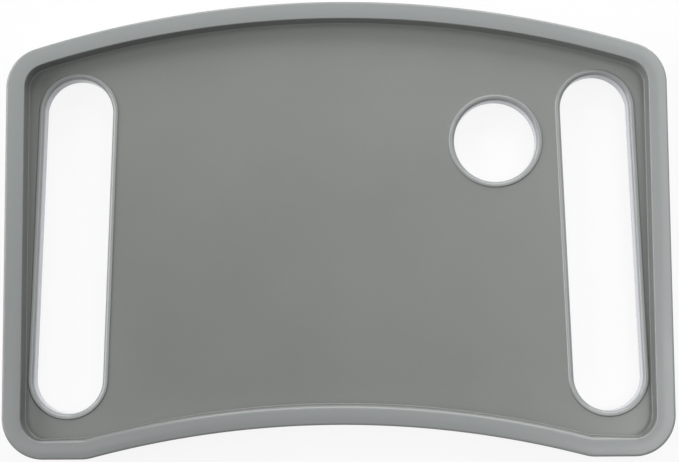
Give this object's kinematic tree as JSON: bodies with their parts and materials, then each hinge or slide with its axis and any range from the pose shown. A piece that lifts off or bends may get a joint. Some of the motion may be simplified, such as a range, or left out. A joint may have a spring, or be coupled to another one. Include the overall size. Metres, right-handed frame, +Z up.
{
  "type": "walker tray",
  "caption": "Moulded tray for a folding walker: raised rim, curved edges, long slots for the hand grips, a cup opening and swivel latches underneath.",
  "frame": {"origin": "middle of the plane that the tray stands on, at the middle of its width and depth", "axes": "+X to the user's right, +Y away from the user towards the curved far edge, +Z up"},
  "size_m": [0.546, 0.3756, 0.036],
  "materials": {
    "tray_plastic": "satin moulded grey",
    "latch_plastic": "satin moulded dark grey",
    "zinc_hardware": "bright zinc plate"
  },
  "bodies": {
    "tray": {"tray_body": "tray_plastic", "latch_screw_far_left": "zinc_hardware", "latch_washer_far_left": "zinc_hardware", "latch_screw_far_right": "zinc_hardware", "latch_washer_far_right": "zinc_hardware", "latch_screw_near_left": "zinc_hardware", "latch_washer_near_left": "zinc_hardware", "latch_screw_near_right": "zinc_hardware", "latch_washer_near_right": "zinc_hardware"},
    "latch_far_left": {"latch_far_left": "latch_plastic"},
    "latch_far_right": {"latch_far_right": "latch_plastic"},
    "latch_near_left": {"latch_near_left": "latch_plastic"},
    "latch_near_right": {"latch_near_right": "latch_plastic"}
  },
  "joints": [
    {"name": "latch_far_left_swing", "type": "hinge", "parent": "tray", "child": "latch_far_left", "pos_m": [-0.17488, 0.09903, 0.0059], "axis": [0, 0, -1], "range_deg": [0, 90]},
    {"name": "latch_far_right_swing", "type": "hinge", "parent": "tray", "child": "latch_far_right", "pos_m": [0.17488, 0.09903, 0.0059], "axis": [0, 0, 1], "range_deg": [0, 90]},
    {"name": "latch_near_left_swing", "type": "hinge", "parent": "tray", "child": "latch_near_left", "pos_m": [-0.18175, -0.12587, 0.0059], "axis": [0, 0, 1], "range_deg": [0, 90]},
    {"name": "latch_near_right_swing", "type": "hinge", "parent": "tray", "child": "latch_near_right", "pos_m": [0.18175, -0.12587, 0.0059], "axis": [0, 0, -1], "range_deg": [0, 90]}
  ]
}
